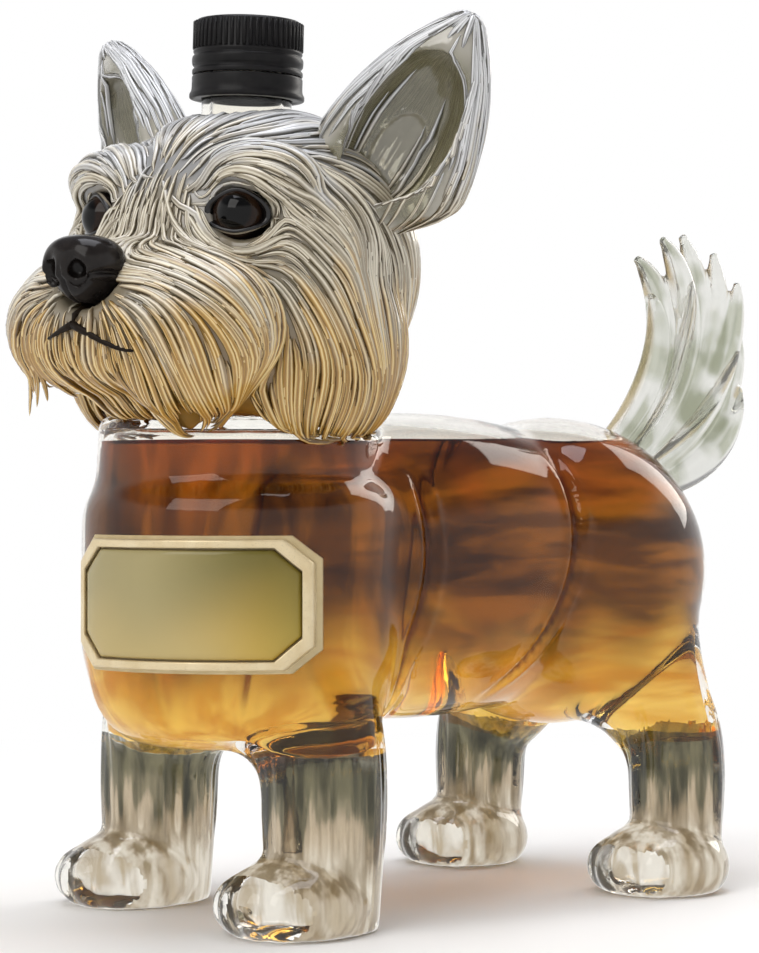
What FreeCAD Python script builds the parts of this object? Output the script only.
import FreeCAD, Part
import os
import re
import Sketcher

# A standing terrier of clear glass that holds liquor and is closed by a screw cap on the crown of its head.
# The dog looks along -Y, its left side is +X, and it stands on z = 0. All lengths are in millimetres.

SIZES = {
    # Trunk
    "wall": (4.0, "glass wall of the trunk"),
    "chest_y": (-66.0, "upright axis of the chest, along the dog"),
    "chest_radius": (44.0, "outer radius of the upright chest"),
    "chest_floor": (46.0, "height of the underside of the chest"),
    "chest_top": (117.0, "height where the chest draws in to the collar"),
    "chest_under_round": (17.0, "inner rounding of the chest's lower edge"),
    "chest_upper_round": (5.0, "inner rounding of the chest's upper edge"),
    "belly_y": (-10.0, "middle of the belly along the dog"),
    "belly_z": (93.5, "height of the belly's middle"),
    "belly_wide": (42.0, "half width of the belly"),
    "belly_long": (95.0, "half length of the belly"),
    "belly_tall": (43.5, "half height of the belly"),
    "haunch_y": (47.0, "middle of the haunch along the dog"),
    "haunch_z": (91.0, "height of the haunch's middle"),
    "haunch_wide": (46.0, "half width of the haunch"),
    "haunch_long": (48.0, "half length of the haunch"),
    "haunch_tall": (45.5, "half height of the haunch"),
    "shoulder_x": (31.0, "shoulder's distance from the middle plane"),
    "shoulder_y": (-67.0, "shoulder's middle along the dog"),
    "shoulder_z": (56.0, "height of the shoulder's middle"),
    "shoulder_wide": (17.0, "half width of a shoulder"),
    "shoulder_long": (19.0, "half length of a shoulder"),
    "shoulder_tall": (16.0, "half height of a shoulder"),
    "thigh_x": (29.0, "thigh's distance from the middle plane"),
    "thigh_y": (55.0, "thigh's middle along the dog"),
    "thigh_z": (66.0, "height of the thigh's middle"),
    "thigh_wide": (20.0, "half width of a thigh"),
    "thigh_long": (21.0, "half length of a thigh"),
    "thigh_tall": (31.0, "half length of a thigh from hip to hock"),
    "thigh_lean": (25.0, "backward slant of a thigh's lower end, degrees"),
    "collar_y": (-67.0, "axis of collar, neck and head, along the dog"),
    "collar_x": (-1.2, "collar's offset to the dog's right"),
    "collar_radius": (38.0, "outer radius of the collar that carries the head"),
    "collar_top": (135.0, "height of the collar's upper face on the axis"),
    "collar_depth": (40.0, "length of the collar down into the chest"),
    # Contents
    "liquor_level": (127.0, "height of the liquor's surface"),
    "liquor_gap": (0.2, "room between the liquor and the glass"),
    # Legs
    "front_leg_x": (37.0, "front leg's distance from the middle plane"),
    "front_leg_y": (-68.0, "front leg's axis along the dog"),
    "front_leg_top": (18.0, "radius of a front leg under the shoulder"),
    "front_leg_ankle": (14.5, "radius of a front leg at the paw"),
    "rear_leg_x": (42.5, "rear leg's distance from the middle plane"),
    "rear_leg_y": (58.0, "rear leg's axis along the dog"),
    "rear_leg_top": (15.0, "radius of a rear leg at the hock"),
    "rear_leg_ankle": (12.0, "radius of a rear leg at the paw"),
    "leg_root_rise": (13.0, "leg's rounded top above the lowest point that it carries"),
    "front_paw_ahead": (9.0, "front paw's middle in front of the leg's axis"),
    "rear_paw_ahead": (6.0, "rear paw's middle in front of the leg's axis"),
    "paw_wide": (19.0, "half width of a paw"),
    "paw_long": (20.0, "half length of a paw"),
    "paw_tall": (13.0, "half height of a paw's full form"),
    "paw_z": (7.5, "height of a paw's middle above the floor"),
    "toe_wide": (6.2, "half width of a toe"),
    "toe_long": (9.0, "half length of a toe"),
    "toe_tall": (8.5, "half height of a toe's full form"),
    "toe_reach": (13.0, "toe's middle ahead of the paw's middle"),
    "toe_spread": (24.0, "angle between neighbouring toes, degrees"),
    # Head, measured from the collar's upper face on the axis
    "head_yaw": (12.0, "turn of the head to the dog's left, degrees"),
    "head_roll": (2.0, "lean of the head to the dog's left, degrees"),
    "skull_y": (4.0, "skull's middle behind the axis"),
    "skull_z": (41.0, "height of the skull's middle"),
    "skull_wide": (45.0, "half width of the skull"),
    "skull_long": (44.0, "half length of the skull"),
    "skull_tall": (42.6, "half height of the skull"),
    "cheek_x": (26.0, "cheek's distance from the middle plane"),
    "cheek_y": (-3.0, "cheek's middle, negative is ahead of the axis"),
    "cheek_z": (20.0, "height of the cheek's middle"),
    "cheek_wide": (23.0, "half width of a cheek"),
    "cheek_long": (30.0, "half length of a cheek"),
    "cheek_tall": (28.0, "half height of a cheek"),
    "muzzle_y": (-38.0, "muzzle's middle, negative is ahead of the axis"),
    "muzzle_z": (22.0, "height of the muzzle's middle"),
    "muzzle_wide": (42.0, "half width of the muzzle with its whiskers"),
    "muzzle_long": (26.0, "half length of the muzzle"),
    "muzzle_tall": (23.0, "half height of the muzzle"),
    "chin_y": (-30.0, "chin's middle, negative is ahead of the axis"),
    "chin_z": (8.0, "height of the chin's middle"),
    "chin_wide": (23.0, "half width of the chin"),
    "chin_long": (20.0, "half length of the chin"),
    "chin_tall": (18.0, "half height of the chin"),
    "brow_x": (22.0, "brow's distance from the middle plane"),
    "brow_y": (-22.0, "brow's middle, negative is ahead of the axis"),
    "brow_z": (62.5, "height of the brow's middle"),
    "brow_wide": (16.0, "half width of a brow"),
    "brow_long": (11.5, "half length of a brow"),
    "brow_tall": (9.0, "half height of a brow"),
    "head_wall": (9.0, "glass of the head round its hollow"),
    "throat_radius": (25.0, "radius of the passage between head and collar"),
    "ear_x": (35.0, "ear's foot from the middle plane"),
    "ear_y": (8.0, "ear's foot behind the axis"),
    "ear_z": (54.0, "height of the ear's foot"),
    "ear_splay": (30.0, "outward lean of the ear, degrees"),
    "ear_back": (6.0, "backward lean of the ear, degrees"),
    "ear_turn": (24.0, "outward turn of the ear's hollow, degrees"),
    "ear_height": (60.0, "length of the ear from foot to tip"),
    "ear_wide": (23.0, "half width of the ear at its foot"),
    "ear_thick": (11.0, "half thickness of the ear at its foot"),
    "ear_tip": (3.0, "half width of the ear's tip"),
    "ear_tip_thick": (2.4, "half thickness of the ear's tip"),
    "ear_hollow": (14.0, "half width of the hollow in the ear"),
    "ear_hollow_tall": (25.0, "half height of the hollow in the ear"),
    "ear_hollow_z": (24.0, "middle of the ear's hollow above the ear's foot"),
    "ear_hollow_ahead": (4.0, "middle of the ear's hollow ahead of the ear's middle"),
    "eye_x": (23.3, "eye's distance from the middle plane"),
    "eye_y": (-28.0, "eye's middle, negative is ahead of the axis"),
    "eye_z": (52.0, "height of the eye's middle"),
    "eye_radius": (7.2, "radius of an eye"),
    "nose_y": (-61.0, "nose's middle, negative is ahead of the axis"),
    "nose_z": (35.5, "height of the nose's middle"),
    "nose_wide": (10.5, "half width of the nose"),
    "nose_long": (9.5, "half length of the nose"),
    "nose_tall": (9.5, "half height of the nose"),
    "nostril_x": (5.0, "nostril's distance from the middle plane"),
    "nostril_radius": (1.9, "radius of a nostril"),
    "nostril_depth": (3.5, "depth of a nostril"),
    # Tail
    "tail_arc_y": (87.5, "centre of the tail's curve along the dog"),
    "tail_arc_z": (153.0, "height of the centre of the tail's curve"),
    "tail_arc_radius": (29.0, "radius of the tail's curve"),
    "tail_start": (-112.0, "angle where the tail leaves the rump, degrees"),
    "tail_end": (60.0, "angle of the tail's tip, degrees"),
    "tail_radius": (10.0, "radius of the tail's core"),
    "tip_long": (13.0, "half length of the tail's tip"),
    "lock_swing": (32.0, "outward swing of a lock from the curve, degrees"),
    "lock_long": (14.0, "half length of a lock"),
    "lock_wide": (6.0, "half width of a lock"),
    "lock_thick": (6.5, "half thickness of a lock"),
    "lock_aside": (2.5, "lock's offset from the middle plane, to either side in turn"),
    # Plaque on the chest
    "plaque_turn": (30.0, "turn of the plaque to the dog's left, degrees"),
    "plaque_z": (85.5, "height of the plaque's middle"),
    "plaque_wide": (66.0, "straight width of the plaque"),
    "plaque_tall": (33.5, "height of the plaque"),
    "plaque_corner": (6.0, "cut of the plaque's corners"),
    "frame_width": (3.6, "width of the plaque's raised frame"),
    "pad_thick": (0.6, "thickness of the backing pad"),
    "pad_margin": (1.0, "backing pad past the frame"),
    "frame_thick": (2.2, "thickness of the frame"),
    "panel_thick": (1.3, "thickness of the panel"),
    # Neck and closure, measured on the axis from the collar's upper face
    "closure_z": (85.5, "height of the tamper band's lower edge"),
    "thread_radius": (11.9, "radius of the neck between the threads"),
    "neck_wall": (2.6, "glass of the neck between the threads"),
    "neck_step": (0.3, "neck below its bead, past the radius between the threads"),
    "thread_height": (0.95, "height of the neck's thread"),
    "thread_width": (1.5, "width of a thread at its root"),
    "thread_crest": (0.8, "width of a thread at its crest"),
    "thread_lead": (4.0, "rise of the thread in one turn"),
    "thread_turns": (1.5, "turns of the thread"),
    "thread_start": (2.4, "thread's foot above the split of band and cap"),
    "thread_gap": (0.25, "room between crest and root"),
    "thread_rest": (2.0, "height left free over the cap's thread"),
    "bead_height": (2.4, "height of the bead that traps the band"),
    "bead_reach": (1.1, "bead's reach past the neck"),
    "run_gap": (0.3, "room round the band"),
    "band_height": (6.2, "height of the tamper band"),
    "band_lip": (1.2, "height of the band's inward lip"),
    "band_flare": (0.6, "widening of the band's lower edge"),
    "split_gap": (0.3, "split between the band and the cap"),
    "shell_thick": (0.85, "wall of the cap's outer shell"),
    "shell_edge": (0.7, "slope of the cap's upper edge"),
    "ring_groove": (0.45, "depth of the grooves round the cap"),
    "ring_low": (1.9, "lower groove above the cap's lower edge"),
    "ring_high": (5.4, "upper groove above the cap's lower edge"),
    "ring_half": (0.6, "half width of a groove"),
    "flute_length": (8.0, "length of the grip flutes"),
    "flute_radius": (0.45, "radius of a grip flute"),
    "fit_gap": (0.05, "room of the insert in the cap and the pourer in the neck"),
    "insert_thick": (1.0, "wall of the threaded insert"),
    "insert_rise": (0.5, "insert's lower edge above the shell's"),
    "liner_thick": (1.5, "thickness of the sealing liner"),
    "flange_thick": (1.0, "thickness of the pourer's flange"),
    "flange_inset": (0.5, "pourer's flange inside the neck's outer edge"),
    "pourer_wall": (1.8, "wall of the pourer"),
    "pourer_depth": (12.0, "length of the pourer down the neck"),
}

TOES = 4
TAIL_LOCKS = 6
FIRST_LOCK = 0.3  # share of the tail's curve below its first lock
GRIP_FLUTES = 54
EAR_TAPER = ((0, 1), (0.4, 0.88), (0.75, 0.5), (1, 0))  # share of the ear's height, share of its spread there
SIDES = (("left", 1), ("right", -1))

doc = FreeCAD.newDocument("terrier_decanter")
sheet = doc.addObject("Spreadsheet::Sheet", "Sizes")
for row, (name, (value, meaning)) in enumerate(SIZES.items(), 1):
    sheet.set(f"A{row}", name)
    sheet.set(f"B{row}", str(value))
    sheet.set(f"C{row}", meaning)
    sheet.setAlias(f"B{row}", name)
doc.recompute()


# Helpers

def cells(formula):
    """A formula in the sheet's own words, as an expression of the document."""
    return re.sub(r"[a-z]\w*", lambda word: "Sizes." + word[0] if word[0] in SIZES else word[0], formula)


def turn(axis, angle):
    """A turn about an axis given as "1; 0; 0", by an angle in degrees."""
    return f"rotation(vector({axis}); {angle})"


STRAIGHT = turn("0; 0; 1", "0")


def spot(x, y, z, turned_by=STRAIGHT, frame=""):
    """The place of a piece, in the whole dog's frame or in a named frame."""
    place = f"placement(vector({x}; {y}; {z}); {turned_by})"
    return cells(f"{frame}.Placement * {place}" if frame else place)


def bind(piece, place=None, **formulas):
    """Ties a piece's sizes and place to the sheet."""
    for prop, formula in formulas.items():
        piece.setExpression(prop, cells(formula))
    if place:
        piece.setExpression("Placement", place)
    return piece


def frame(name, place):
    """A named frame that other pieces are placed in."""
    return bind(doc.addObject("PartDesign::CoordinateSystem", name), place)


def ellipsoid(name, wide, long, tall, place):
    piece = doc.addObject("Part::Ellipsoid", name)
    piece.Angle1 = -90
    piece.Angle2 = 90
    return bind(piece, place, Radius1=tall, Radius2=wide, Radius3=long)


def ball(name, radius, place):
    return bind(doc.addObject("Part::Sphere", name), place, Radius=radius)


def cylinder(name, radius, height, place):
    return bind(doc.addObject("Part::Cylinder", name), place, Radius=radius, Height=height)


def cone(name, low_radius, high_radius, height, place):
    return bind(doc.addObject("Part::Cone", name), place, Radius1=low_radius, Radius2=high_radius, Height=height)


def block(name, long, wide, high, place):
    return bind(doc.addObject("Part::Box", name), place, Length=long, Width=wide, Height=high)


def joined(name, pieces):
    piece = doc.addObject("Part::MultiFuse", name)
    piece.Shapes = pieces
    return piece


def without(name, base, tool):
    piece = doc.addObject("Part::Cut", name)
    piece.Base = base
    piece.Tool = tool
    return piece


def shared(name, pieces):
    piece = doc.addObject("Part::MultiCommon", name)
    piece.Shapes = pieces
    return piece


def sketch_on(body, plane, name):
    """An empty sketch on one of a body's own planes."""
    sketch = body.newObject("Sketcher::SketchObject", name)
    support = next(feature for feature in body.Origin.OriginFeatures if feature.Role == plane)
    sketch.AttachmentSupport = [(support, "")]
    sketch.MapMode = "FlatFace"
    return sketch


def outline(sketch, corners):
    """A closed run of straight lines through corners, each tied to the sheet across and along."""
    guesses = [FreeCAD.Vector(1 + i, 1 + i * i, 0) for i in range(len(corners))]
    for i, guess in enumerate(guesses):
        sketch.addGeometry(Part.LineSegment(guess, guesses[(i + 1) % len(guesses)]), False)
    for i in range(len(corners)):
        sketch.addConstraint(Sketcher.Constraint("Coincident", i, 2, (i + 1) % len(corners), 1))
    for i, (corner, guess) in enumerate(zip(corners, guesses)):
        for kind, formula, start in zip(("DistanceX", "DistanceY"), corner, (guess.x, guess.y)):
            index = sketch.addConstraint(Sketcher.Constraint(kind, -1, 1, i, 1, start))
            sketch.setExpression(f"Constraints[{index}]", cells(formula))


def turned(name, corners, place):
    """A body turned about its own upright axis from an outline of radius and height."""
    body = bind(doc.addObject("PartDesign::Body", name), place)
    sketch = sketch_on(body, "XZ_Plane", name + "_outline")
    outline(sketch, corners)
    revolution = body.newObject("PartDesign::Revolution", name + "_turned")
    revolution.Profile = sketch
    revolution.ReferenceAxis = (sketch, ["V_Axis"])
    revolution.Angle = 360
    body.Tip = revolution
    return body


def thread(body, root, crest, foot):
    """A helical thread on a turned body, from a root radius to a crest radius."""
    sketch = sketch_on(body, "XZ_Plane", body.Name + "_thread_outline")
    outline(sketch, [
        (root, f"{foot} - thread_width / 2"),
        (crest, f"{foot} - thread_crest / 2"),
        (crest, f"{foot} + thread_crest / 2"),
        (root, f"{foot} + thread_width / 2"),
    ])
    helix = body.newObject("PartDesign::AdditiveHelix", body.Name + "_thread")
    helix.Profile = sketch
    helix.ReferenceAxis = (sketch, ["V_Axis"])
    helix.Mode = "pitch-turns-angle"
    bind(helix, Pitch="thread_lead", Turns="thread_turns")
    body.Tip = helix


def drum(name, radius, low, high, under_round, upper_round, place):
    """An upright drum with its lower and upper edges rounded."""
    body = turned(name, [("0", low), (radius, low), (radius, high), ("0", high)], place)
    for edge_name, rounding, outermost in (("under", under_round, min), ("upper", upper_round, max)):
        doc.recompute()
        base = body.Tip
        rims = {f"Edge{i}": edge for i, edge in enumerate(base.Shape.Edges, 1) if edge.isClosed()}
        rim = outermost(rims, key=lambda label: rims[label].BoundBox.Center.z)
        fillet = body.newObject("PartDesign::Fillet", f"{name}_{edge_name}_round")
        fillet.Base = (base, [rim])
        bind(fillet, Radius=rounding)
        body.Tip = fillet
    return body


# Frames

NECK_RADIUS = "(thread_radius + neck_step)"
head_turn = turn("0; 0; 1", "head_yaw") + " * " + turn("0; 1; 0", "head_roll")
frame("HeadFrame", spot("collar_x", "collar_y", "collar_top", head_turn))


def in_head(x, y, z, turned_by=STRAIGHT):
    return spot(x, y, z, turned_by, "HeadFrame")


# Trunk: the same set of round forms makes the outside, the hollow and the liquor, each by its own inset

def trunk_forms(name, inset):
    """Chest, collar, belly, haunch, shoulders and thighs, all drawn in by an inset."""
    forms = [
        drum(f"{name}_chest", f"chest_radius - ({inset})", f"chest_floor + {inset}", f"chest_top - ({inset})",
             f"chest_under_round + wall - ({inset})", f"chest_upper_round + wall - ({inset})",
             spot("0", "chest_y", "0")),
        cylinder(f"{name}_collar", f"collar_radius - ({inset})", "collar_depth", in_head("0", "0", "-collar_depth")),
    ]
    forms.append(ellipsoid(
        f"{name}_belly", f"belly_wide - ({inset})", f"belly_long - ({inset})", f"belly_tall - ({inset})",
        spot("0", "belly_y", "belly_z")))
    forms.append(ellipsoid(
        f"{name}_haunch", f"haunch_long - ({inset})", f"haunch_wide - ({inset})", f"haunch_tall - ({inset})",
        spot("0", "haunch_y", "haunch_z", turn("0; 0; 1", "90"))))
    for part, lean in (("shoulder", "0"), ("thigh", "thigh_lean")):
        for side, sign in SIDES:
            forms.append(ellipsoid(
                f"{name}_{side}_{part}", f"{part}_wide - ({inset})", f"{part}_long - ({inset})",
                f"{part}_tall - ({inset})",
                spot(f"{sign} * {part}_x", f"{part}_y", f"{part}_z", turn("1; 0; 0", lean))))
    return joined(f"{name}_forms", forms)


trunk = trunk_forms("trunk", "0")
hollow = trunk_forms("hollow", "wall")
torso_shell = without("torso_shell", trunk, hollow)

ASIDE = "(haunch_wide + chest_radius + thigh_x + thigh_wide)"
ALONG = "(belly_long + chest_radius + haunch_long)"
fill = trunk_forms("fill", "wall + liquor_gap")
filled_part = block(
    "filled_part", f"2 * {ASIDE}", f"2 * {ALONG}", "liquor_level", spot(f"-{ASIDE}", f"belly_y - {ALONG}", "0"))
liquor = shared("liquor", [fill, filled_part])


# Legs: a tapered column with a rounded top, on a paw with toes and a flat sole

below_floor = block(
    "below_floor", f"2 * {ASIDE}", f"2 * {ALONG}", "paw_tall + toe_tall",
    spot(f"-{ASIDE}", f"belly_y - {ALONG}", "-(paw_tall + toe_tall)"))


def leg(end, carried, side, sign):
    name = f"{end}_{side}"
    x = f"{sign} * {end}_leg_x"
    root_z = f"({carried}_z - {carried}_tall + leg_root_rise)"
    paw_y = f"{end}_leg_y - {end}_paw_ahead"
    forms = [
        cone(f"{name}_column", f"{end}_leg_ankle", f"{end}_leg_top", root_z, spot(x, f"{end}_leg_y", "0")),
        ellipsoid(f"{name}_root", f"{end}_leg_top", f"{end}_leg_top", f"{end}_leg_top",
                  spot(x, f"{end}_leg_y", root_z)),
        ellipsoid(f"{name}_paw", "paw_wide", "paw_long", "paw_tall", spot(x, paw_y, "paw_z")),
    ]
    for i in range(TOES):
        angle = f"({i - (TOES - 1) / 2} * toe_spread)"
        forms.append(ellipsoid(
            f"{name}_toe_{i}", "toe_wide", "toe_long", "toe_tall",
            spot(f"{x} + toe_reach * sin({angle} * 1 deg)", f"{paw_y} - toe_reach * cos({angle} * 1 deg)", "paw_z",
                 turn("0; 0; 1", angle))))
    whole = joined(f"{name}_leg_forms", forms)
    standing = without(f"{name}_leg_on_floor", whole, below_floor)
    return without(f"{name}_leg", standing, trunk)


legs = [
    leg(end, carried, side, sign)
    for end, carried in (("front", "shoulder"), ("rear", "thigh"))
    for side, sign in SIDES
]


# Tail: a curved core with overlapping locks along its outer side, seated on the rump

def on_tail(angle, reach, aside, swing):
    """A place on the tail's curve, moved outward and aside, and swung outward by an angle."""
    return spot(
        aside, f"tail_arc_y + (tail_arc_radius + {reach}) * cos({angle} * 1 deg)",
        f"tail_arc_z + (tail_arc_radius + {reach}) * sin({angle} * 1 deg)",
        turn("1; 0; 0", f"{angle} - {swing}"))


core = bind(
    doc.addObject("Part::Torus", "tail_core"),
    spot("0", "tail_arc_y", "tail_arc_z", turn("1; 0; 0", "tail_start") + " * " + turn("1; 1; 1", "120")),
    Radius1="tail_arc_radius", Radius2="tail_radius", Angle3="tail_end - tail_start")
plume = [
    core,
    ellipsoid("tail_root", "tail_radius", "tail_radius", "tail_radius", on_tail("tail_start", "0", "0", "0")),
    ellipsoid("tail_tip", "tail_radius", "tail_radius", "tip_long", on_tail("tail_end", "0", "0", "0")),
]
for i in range(TAIL_LOCKS):
    along = FIRST_LOCK + (1 - FIRST_LOCK) * i / (TAIL_LOCKS - 1)
    angle = f"(tail_start + (tail_end - tail_start) * {along:.4f})"
    aside = "lock_aside" if i % 2 else "-lock_aside"
    plume.append(ellipsoid(f"tail_lock_{i}", "lock_thick", "lock_wide", "lock_long",
                           on_tail(angle, "tail_radius", aside, "lock_swing")))
tail = without("tail", joined("plume", plume), trunk)


# Head: round forms joined into a terrier's face, hollow and open to the collar and the neck

def head_form(part, sign=0, side=""):
    x = f"{sign} * {part}_x" if sign else "0"
    return ellipsoid(f"{side}{part}", f"{part}_wide", f"{part}_long", f"{part}_tall",
                     in_head(x, f"{part}_y", f"{part}_z"))


face = [head_form(part) for part in ("skull", "muzzle", "chin")]
face += [head_form(part, sign, f"{side}_") for part in ("cheek", "brow") for side, sign in SIDES]
head_outside = joined("head_outside", face)

eyes = [ball(f"{side}_eye", "eye_radius", in_head(f"{sign} * eye_x", "eye_y", "eye_z")) for side, sign in SIDES]
nose_form = ellipsoid("nose_form", "nose_wide", "nose_long", "nose_tall", in_head("0", "nose_y", "nose_z"))
nostrils = [
    cylinder(f"{side}_nostril", "nostril_radius", "nose_long",
             in_head(f"{sign} * nostril_x", "nose_y - nose_long + nostril_depth", "nose_z", turn("1; 0; 0", "90")))
    for side, sign in SIDES
]
nose = without("nose", nose_form, joined("nostrils", nostrils))

head_hollow = ellipsoid(
    "head_hollow", "skull_wide - head_wall", "skull_long - head_wall", "skull_tall - head_wall",
    in_head("0", "skull_y", "skull_z"))
throat = cylinder("throat", "throat_radius", "skull_z", in_head("0", "0", "0"))
crown_hole = cylinder("crown_hole", NECK_RADIUS, "closure_z - skull_z", in_head("0", "0", "skull_z"))
head_cuts = joined("head_cuts", [trunk, head_hollow, throat, crown_hole, nose_form] + eyes)
head_shell = without("head_shell", head_outside, head_cuts)


# Ears: flattened, tapered to a tip and hollowed in front

def ear(side, sign):
    lean = " * ".join((
        turn("0; 1; 0", f"{sign} * ear_splay"),
        turn("1; 0; 0", "-ear_back"),
        turn("0; 0; 1", f"{sign} * ear_turn")))
    ear_frame = f"{side.capitalize()}EarFrame"
    frame(ear_frame, in_head(f"{sign} * ear_x", "ear_y", "ear_z", lean))
    sections = []
    for i, (share, spread) in enumerate(EAR_TAPER):
        section = doc.addObject("Part::Ellipse", f"{side}_ear_section_{i}")
        bind(section, spot("0", "0", f"ear_height * {share}", frame=ear_frame),
             MajorRadius=f"ear_tip + (ear_wide - ear_tip) * {spread}",
             MinorRadius=f"ear_tip_thick + (ear_thick - ear_tip_thick) * {spread}")
        sections.append(section)
    form = doc.addObject("Part::Loft", f"{side}_ear_form")
    form.Sections = sections
    form.Solid = True
    scoop = ellipsoid(
        f"{side}_ear_scoop", "ear_hollow", "ear_thick", "ear_hollow_tall",
        spot("0", "-ear_hollow_ahead", "ear_hollow_z", frame=ear_frame))
    open_ear = without(f"{side}_open_ear", form, scoop)
    return without(f"{side}_ear", open_ear, head_outside)


ears = [ear(side, sign) for side, sign in SIDES]


# Plaque: an octagon wrapped round the upright chest

frame("PlaqueFrame", spot("0", "chest_y", "plaque_z", turn("0; 0; 1", "plaque_turn")))


def octagon(name, inset):
    """An upright octagonal prism that points from the chest's axis through the plaque."""
    body = bind(doc.addObject("PartDesign::Body", name), spot("0", "0", "0", frame="PlaqueFrame"))
    sketch = sketch_on(body, "XZ_Plane", name + "_outline")
    half_wide = f"(plaque_wide / 2 - ({inset}))"
    half_tall = f"(plaque_tall / 2 - ({inset}))"
    cut = "plaque_corner"
    outline(sketch, [
        (f"{cut} - {half_wide}", f"-{half_tall}"), (f"{half_wide} - {cut}", f"-{half_tall}"),
        (half_wide, f"{cut} - {half_tall}"), (half_wide, f"{half_tall} - {cut}"),
        (f"{half_wide} - {cut}", half_tall), (f"{cut} - {half_wide}", half_tall),
        (f"-{half_wide}", f"{half_tall} - {cut}"), (f"-{half_wide}", f"{cut} - {half_tall}"),
    ])
    pad = body.newObject("PartDesign::Pad", name + "_pad")
    pad.Profile = sketch
    bind(pad, Length="chest_radius + pad_thick + frame_thick + panel_thick")
    body.Tip = pad
    return body


def wrap(name, rise, thick):
    """A ring round the chest, from a rise above the glass and as thick as given."""
    place = spot("0", "0", "-plaque_tall", frame="PlaqueFrame")
    outside = cylinder(f"{name}_outside", f"chest_radius + {rise} + {thick}", "2 * plaque_tall", place)
    inside = cylinder(f"{name}_inside", f"chest_radius + {rise}", "2 * plaque_tall", place)
    return without(f"{name}_ring", outside, inside)


plaque_backing = shared("plaque_backing", [octagon("backing_form", "-pad_margin"), wrap("backing", "0", "pad_thick")])
frame_plate = shared("frame_plate", [octagon("frame_form", "0"), wrap("frame", "pad_thick", "frame_thick")])
plaque_frame = without("plaque_frame", frame_plate, octagon("frame_window", "frame_width"))
plaque_panel = shared(
    "plaque_panel", [octagon("panel_form", "frame_width + fit_gap"), wrap("panel", "pad_thick", "panel_thick")])


# Neck and closure, all turned about the head's axis

SPLIT = "(closure_z + band_height + split_gap)"
NECK_THREAD = f"({SPLIT} + thread_start)"
CAP_THREAD = f"({NECK_THREAD} + thread_lead / 2)"
LINER_TOP = f"({CAP_THREAD} + thread_lead * thread_turns + thread_width / 2 + thread_rest)"
INSERT_TOP = f"({LINER_TOP} + insert_thick)"
SHELL_TOP = f"({INSERT_TOP} + shell_thick)"
FLANGE_TOP = f"({LINER_TOP} - liner_thick)"
NECK_LIP = f"({FLANGE_TOP} - flange_thick)"
NECK_FOOT = "(skull_z + skull_tall - head_wall)"
POURER_FOOT = f"({NECK_LIP} - pourer_depth)"
BEAD_FOOT = "(closure_z + band_lip + run_gap)"
BEAD_RADIUS = f"({NECK_RADIUS} + bead_reach)"
BAND_BORE = f"({NECK_RADIUS} + run_gap)"
BEAD_ROOM = f"({BEAD_RADIUS} + run_gap)"
NECK_BORE = "(thread_radius - neck_wall)"
POURER_RADIUS = f"({NECK_BORE} - fit_gap)"
POURER_BORE = f"({POURER_RADIUS} - pourer_wall)"
FLANGE_RADIUS = "(thread_radius - flange_inset)"
INSERT_BORE = "(thread_radius + thread_height + thread_gap)"
INSERT_RADIUS = f"({INSERT_BORE} + insert_thick)"
LINER_RADIUS = f"({INSERT_BORE} - run_gap)"
SHELL_BORE = f"({INSERT_RADIUS} + fit_gap)"
SHELL_RADIUS = f"({SHELL_BORE} + shell_thick)"
BAND_FOOT_RADIUS = f"({SHELL_RADIUS} + band_flare)"
on_axis = in_head("0", "0", "0")

neck_finish = turned("neck_finish", [
    (NECK_BORE, NECK_FOOT),
    (NECK_RADIUS, NECK_FOOT),
    (NECK_RADIUS, BEAD_FOOT),
    (BEAD_RADIUS, f"{BEAD_FOOT} + bead_reach / 2"),
    (BEAD_RADIUS, f"{BEAD_FOOT} + bead_height - bead_reach / 2"),
    ("thread_radius", f"{BEAD_FOOT} + bead_height"),
    ("thread_radius", NECK_LIP),
    (NECK_BORE, NECK_LIP),
], on_axis)
thread(neck_finish, "thread_radius - thread_gap", "thread_radius + thread_height", NECK_THREAD)

tamper_band = turned("tamper_band", [
    (BAND_BORE, "closure_z"),
    (BAND_FOOT_RADIUS, "closure_z"),
    (BAND_FOOT_RADIUS, "closure_z + band_lip"),
    (SHELL_RADIUS, "closure_z + band_height / 2"),
    (SHELL_RADIUS, "closure_z + band_height"),
    (BEAD_ROOM, "closure_z + band_height"),
    (BEAD_ROOM, "closure_z + band_lip"),
    (BAND_BORE, "closure_z + band_lip"),
], on_axis)

cap_shell = turned("cap_shell", [
    (SHELL_BORE, SPLIT),
    (SHELL_RADIUS, SPLIT),
    (SHELL_RADIUS, f"{SPLIT} + ring_low - ring_half"),
    (f"{SHELL_RADIUS} - ring_groove", f"{SPLIT} + ring_low"),
    (SHELL_RADIUS, f"{SPLIT} + ring_low + ring_half"),
    (SHELL_RADIUS, f"{SPLIT} + ring_high - ring_half"),
    (f"{SHELL_RADIUS} - ring_groove", f"{SPLIT} + ring_high"),
    (SHELL_RADIUS, f"{SPLIT} + ring_high + ring_half"),
    (SHELL_RADIUS, f"{SHELL_TOP} - shell_edge"),
    (f"{SHELL_RADIUS} - shell_edge", SHELL_TOP),
    ("0", SHELL_TOP),
    ("0", INSERT_TOP),
    (SHELL_BORE, INSERT_TOP),
], on_axis)


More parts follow.
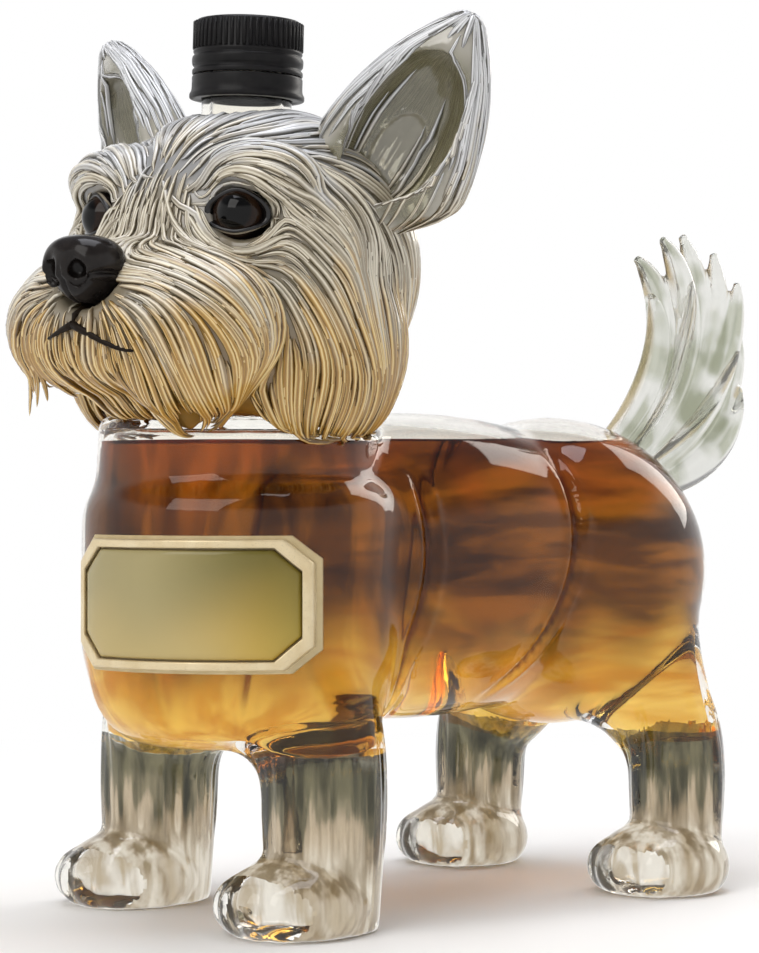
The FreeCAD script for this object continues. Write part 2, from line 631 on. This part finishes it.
def grip_flutes(body):
    """Upright flutes cut round the upper part of the cap."""
    sketch = sketch_on(body, "XY_Plane", "flute_outline")
    sketch.setExpression("AttachmentOffset.Base.z", cells(SHELL_TOP))
    guess = Part.Circle(FreeCAD.Vector(1, 0, 0), FreeCAD.Vector(0, 0, 1), 1)
    sketch.addGeometry(guess, False)
    sketch.addConstraint(Sketcher.Constraint("PointOnObject", 0, 3, -1))
    across = sketch.addConstraint(Sketcher.Constraint("DistanceX", -1, 1, 0, 3, guess.Center.x))
    radius = sketch.addConstraint(Sketcher.Constraint("Radius", 0, guess.Radius))
    sketch.setExpression(f"Constraints[{across}]", cells(SHELL_RADIUS))
    sketch.setExpression(f"Constraints[{radius}]", cells("flute_radius"))
    flute = body.newObject("PartDesign::Pocket", "flute")
    flute.Profile = sketch
    bind(flute, Length="flute_length")
    body.Tip = flute
    doc.recompute()
    around = body.newObject("PartDesign::PolarPattern", "flutes")
    around.Originals = [flute]
    around.Axis = (sketch, ["N_Axis"])
    around.Angle = 360
    around.Occurrences = GRIP_FLUTES
    body.Tip = around


grip_flutes(cap_shell)

cap_insert = turned("cap_insert", [
    (INSERT_BORE, f"{SPLIT} + insert_rise"),
    (INSERT_RADIUS, f"{SPLIT} + insert_rise"),
    (INSERT_RADIUS, INSERT_TOP),
    ("0", INSERT_TOP),
    ("0", LINER_TOP),
    (INSERT_BORE, LINER_TOP),
], on_axis)
thread(cap_insert, f"{INSERT_BORE} + thread_gap", "thread_radius + thread_gap", CAP_THREAD)

cap_liner = turned("cap_liner", [
    ("0", FLANGE_TOP),
    (LINER_RADIUS, FLANGE_TOP),
    (LINER_RADIUS, LINER_TOP),
    ("0", LINER_TOP),
], on_axis)

pour_insert = turned("pour_insert", [
    (POURER_BORE, POURER_FOOT),
    (POURER_RADIUS, POURER_FOOT),
    (POURER_RADIUS, NECK_LIP),
    (FLANGE_RADIUS, NECK_LIP),
    (FLANGE_RADIUS, FLANGE_TOP),
    (POURER_BORE, FLANGE_TOP),
], on_axis)


# Every piece is checked, then written under its own name

pieces = [torso_shell, head_shell, neck_finish, tail, *ears, *legs, *eyes, nose, liquor]
pieces += [plaque_backing, plaque_frame, plaque_panel]
pieces += [pour_insert, tamper_band, cap_liner, cap_insert, cap_shell]

doc.recompute()
for item in doc.Objects:
    if {"Invalid", "Error"} & set(item.State):
        raise RuntimeError(f"{item.Label} failed: {item.State}")
for piece in pieces:
    shape = piece.Shape
    if shape.isNull() or not shape.isValid() or len(shape.Solids) != 1:
        raise RuntimeError(f"{piece.Label} is not one sound solid: {len(shape.Solids)} solids")

os.makedirs("parts", exist_ok=True)
for piece in pieces:
    piece.Shape.exportStep(f"parts/{piece.Label}.step")
    print(f"{piece.Label}: {piece.Shape.Volume / 1000:.1f} cm3")
